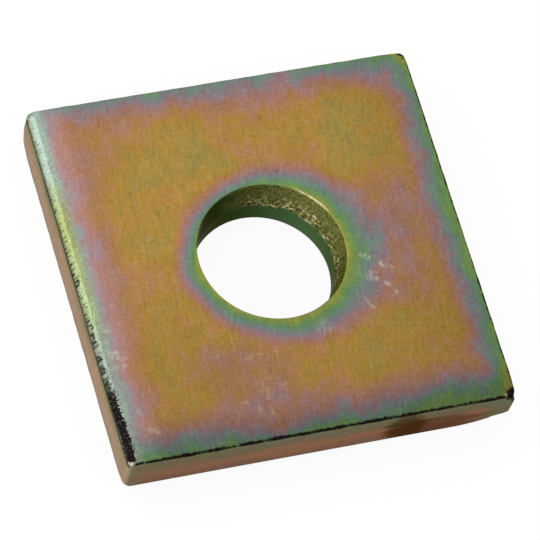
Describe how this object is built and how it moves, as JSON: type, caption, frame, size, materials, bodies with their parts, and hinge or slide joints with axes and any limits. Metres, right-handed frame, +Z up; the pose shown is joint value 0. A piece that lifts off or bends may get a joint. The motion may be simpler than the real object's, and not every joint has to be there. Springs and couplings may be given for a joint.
{
  "type": "square plate washer",
  "caption": "Thick square steel plate washer with a central punched clearance hole, sheared edges and a yellow-passivated zinc finish, to spread a bolt's load over a wide face.",
  "frame": {"origin": "centre of the underside, on the axis of the hole", "axes": "+Z up along the hole, from the underside to the face where the punch broke out; +X and +Y along the sides of the square; the wide rolled edge is at -X"},
  "size_m": [0.04, 0.04, 0.006],
  "materials": {
    "plated_steel": "yellow-passivated zinc plating on sheared steel plate, satin, with iridescent green and violet bands by the edges"
  },
  "bodies": {
    "root": {"plate_washer": "plated_steel"}
  },
  "joints": []
}
